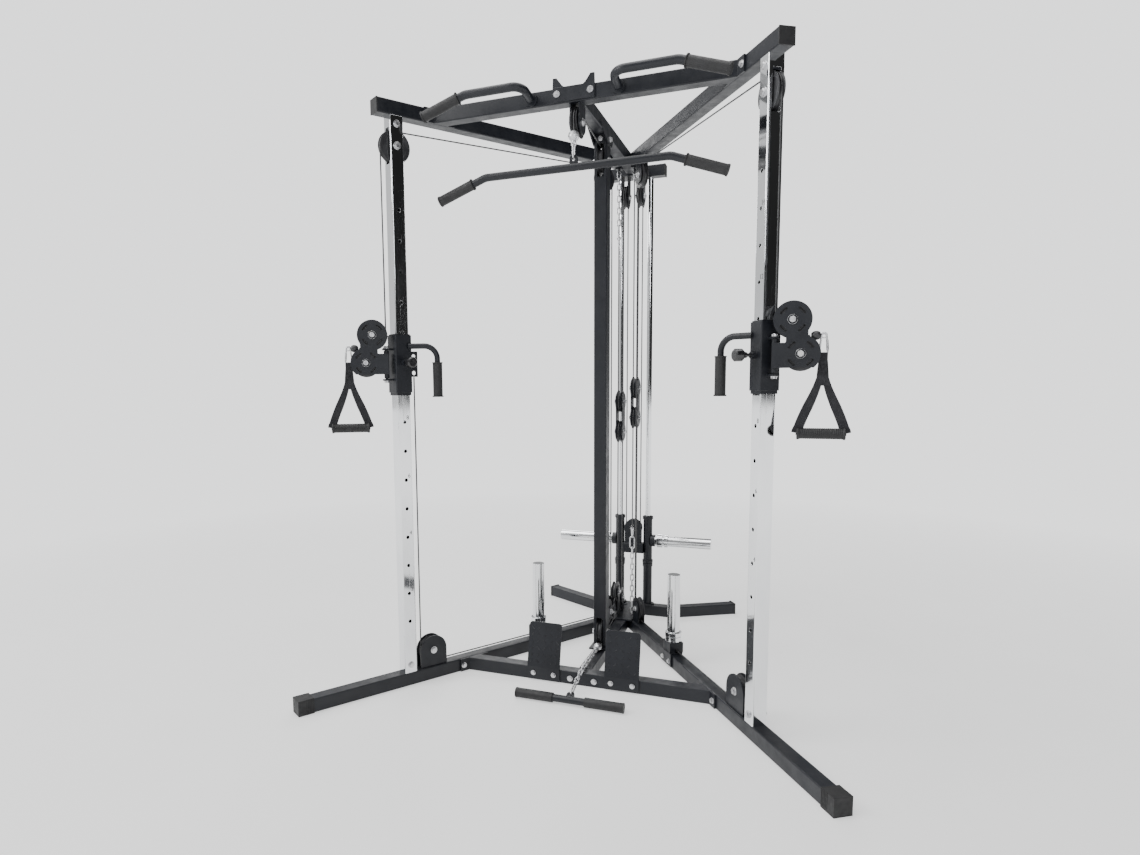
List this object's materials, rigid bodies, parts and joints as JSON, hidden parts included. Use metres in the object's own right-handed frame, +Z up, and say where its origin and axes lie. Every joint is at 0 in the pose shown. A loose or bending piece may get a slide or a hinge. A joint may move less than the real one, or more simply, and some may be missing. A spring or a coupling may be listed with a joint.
{
  "type": "lat pulldown machine",
  "caption": "Plate-loaded lat pulldown and low row station with a V-shaped floor frame, drilled chrome posts, sliding pulley trolleys, hand straps and a lifting weight carriage.",
  "frame": {"origin": "centre of the floor rectangle the machine covers, on the floor", "axes": "+X to the machine's right as the user faces it, -Y towards the user, +Z up"},
  "size_m": [1.7658, 1.6682, 2.13],
  "materials": {
    "frame_paint": "fine-textured satin powder coat",
    "chrome": "polished",
    "zinc": "bright zinc plated",
    "rubber": "matte",
    "nylon": "moulded nylon",
    "knob": "semi-gloss",
    "webbing": "woven",
    "cable": "sheathed wire rope"
  },
  "bodies": {
    "frame": {"side_legs": "frame_paint", "foot_beam": "frame_paint", "floor_spine": "frame_paint", "rear_foot": "frame_paint", "end_caps": "rubber", "centre_upright": "frame_paint", "top_side_beams": "frame_paint", "top_crossbar": "frame_paint", "top_spine": "frame_paint", "rear_top_beam": "frame_paint", "front_posts": "chrome", "foot_plates": "frame_paint", "bar_hook_plate": "frame_paint", "pullup_handles": "frame_paint", "pullup_grips": "rubber", "guide_rods": "chrome", "rod_base_tubes": "frame_paint", "pulley_brackets": "frame_paint", "frame_bolts": "zinc", "storage_pegs": "chrome", "peg_brackets": "frame_paint", "fixed_cables": "cable", "anchor_chains": "zinc", "guide_pulleys": "nylon", "left_upper_cable": "cable", "right_upper_cable": "cable", "left_lower_cable": "cable", "right_lower_cable": "cable", "lat_drop_cable": "cable", "carriage_cables": "cable", "floating_blocks": "frame_paint"},
    "lat_pulley": {"lat_pulley": "nylon"},
    "upright_pulley": {"upright_pulley": "nylon"},
    "low_pulley": {"low_pulley": "nylon"},
    "left_post_pulley": {"left_post_pulley": "nylon"},
    "right_post_pulley": {"right_post_pulley": "nylon"},
    "rear_top_pulleys": {"rear_top_pulleys": "nylon"},
    "left_trolley": {"left_sleeve": "frame_paint", "left_trolley_grip": "rubber"},
    "left_pin": {"left_pop_pin": "knob"},
    "left_swivel_arm": {"left_swivel": "frame_paint", "left_swivel_pulleys": "nylon", "left_cable_end": "nylon"},
    "left_strap": {"left_hand_strap": "webbing"},
    "right_trolley": {"right_sleeve": "frame_paint", "right_trolley_grip": "rubber"},
    "right_pin": {"right_pop_pin": "knob"},
    "right_swivel_arm": {"right_swivel": "frame_paint", "right_swivel_pulleys": "nylon", "right_cable_end": "nylon"},
    "right_strap": {"right_hand_strap": "webbing"},
    "lat_bar": {"lat_bar": "frame_paint", "lat_bar_grips": "rubber", "lat_hanger": "zinc"},
    "row_bar": {"row_bar": "frame_paint", "row_bar_grips": "rubber", "row_chain": "zinc"},
    "carriage": {"carriage_frame": "frame_paint", "weight_horns": "chrome"},
    "carriage_pulley": {"carriage_pulley": "nylon"}
  },
  "joints": [
    {"name": "lat_pulley_spin", "type": "hinge", "parent": "frame", "child": "lat_pulley", "pos_m": [0, -0.3074, 1.996], "axis": [1, 0, 0], "continuous": true},
    {"name": "upright_pulley_spin", "type": "hinge", "parent": "frame", "child": "upright_pulley", "pos_m": [0, 0.0276, 1.96], "axis": [1, 0, 0], "continuous": true},
    {"name": "low_pulley_spin", "type": "hinge", "parent": "frame", "child": "low_pulley", "pos_m": [0, 0.0276, 0.114], "axis": [1, 0, 0], "continuous": true},
    {"name": "rear_top_pulleys_spin", "type": "hinge", "parent": "frame", "child": "rear_top_pulleys", "pos_m": [0, 0.5946, 1.958], "axis": [1, 0, 0], "continuous": true},
    {"name": "left_post_pulley_spin", "type": "hinge", "parent": "frame", "child": "left_post_pulley", "pos_m": [-0.62361, -0.45568, 1.95], "axis": [0.8387, -0.5446, 0], "continuous": true},
    {"name": "left_trolley_slide", "type": "slide", "parent": "frame", "child": "left_trolley", "axis": [0, 0, 1], "range_m": [-0.848, 0.53], "deforming": ["left_upper_cable", "left_lower_cable"]},
    {"name": "left_pin_slide", "type": "slide", "parent": "left_trolley", "child": "left_pin", "axis": [-0.8387, 0.5446, 0], "range_m": [-0.003, 0.013]},
    {"name": "left_swivel_turn", "type": "hinge", "parent": "left_trolley", "child": "left_swivel_arm", "pos_m": [-0.65248, -0.50013, 1.202], "axis": [0, 0, 1], "range_deg": [-63, 117]},
    {"name": "left_strap_swing", "type": "hinge", "parent": "left_swivel_arm", "child": "left_strap", "pos_m": [-0.76636, -0.56588, 1.253], "axis": [-0.5, 0.866, 0], "range_deg": [0, 60]},
    {"name": "right_post_pulley_spin", "type": "hinge", "parent": "frame", "child": "right_post_pulley", "pos_m": [0.62361, -0.45568, 1.95], "axis": [-0.8387, -0.5446, 0], "continuous": true},
    {"name": "right_trolley_slide", "type": "slide", "parent": "frame", "child": "right_trolley", "axis": [0, 0, 1], "range_m": [-0.848, 0.53], "deforming": ["right_upper_cable", "right_lower_cable"]},
    {"name": "right_pin_slide", "type": "slide", "parent": "right_trolley", "child": "right_pin", "axis": [0.8387, 0.5446, 0], "range_m": [-0.003, 0.013]},
    {"name": "right_swivel_turn", "type": "hinge", "parent": "right_trolley", "child": "right_swivel_arm", "pos_m": [0.65248, -0.50013, 1.202], "axis": [0, 0, 1], "range_deg": [-147, 33]},
    {"name": "right_strap_swing", "type": "hinge", "parent": "right_swivel_arm", "child": "right_strap", "pos_m": [0.78398, -0.50013, 1.253], "axis": [0, -1, 0], "range_deg": [0, 60]},
    {"name": "lat_bar_pull", "type": "slide", "parent": "frame", "child": "lat_bar", "axis": [0, 0, -1], "range_m": [0, 1], "deforming": ["lat_drop_cable"]},
    {"name": "carriage_lift", "type": "slide", "parent": "frame", "child": "carriage", "axis": [0, 0, 1], "range_m": [0, 0.5], "deforming": ["carriage_cables"]},
    {"name": "carriage_pulley_spin", "type": "hinge", "parent": "carriage", "child": "carriage_pulley", "pos_m": [0, 0.6406, 0.426], "axis": [0, 1, 0], "continuous": true},
    {"name": "row_bar_pull", "type": "slide", "parent": "frame", "child": "row_bar", "axis": [0, -1, 0], "range_m": [0, 0.3]}
  ],
  "couplings": [
    {"joint": "carriage_lift", "follows": "lat_bar_pull", "ratio": 0.5}
  ]
}
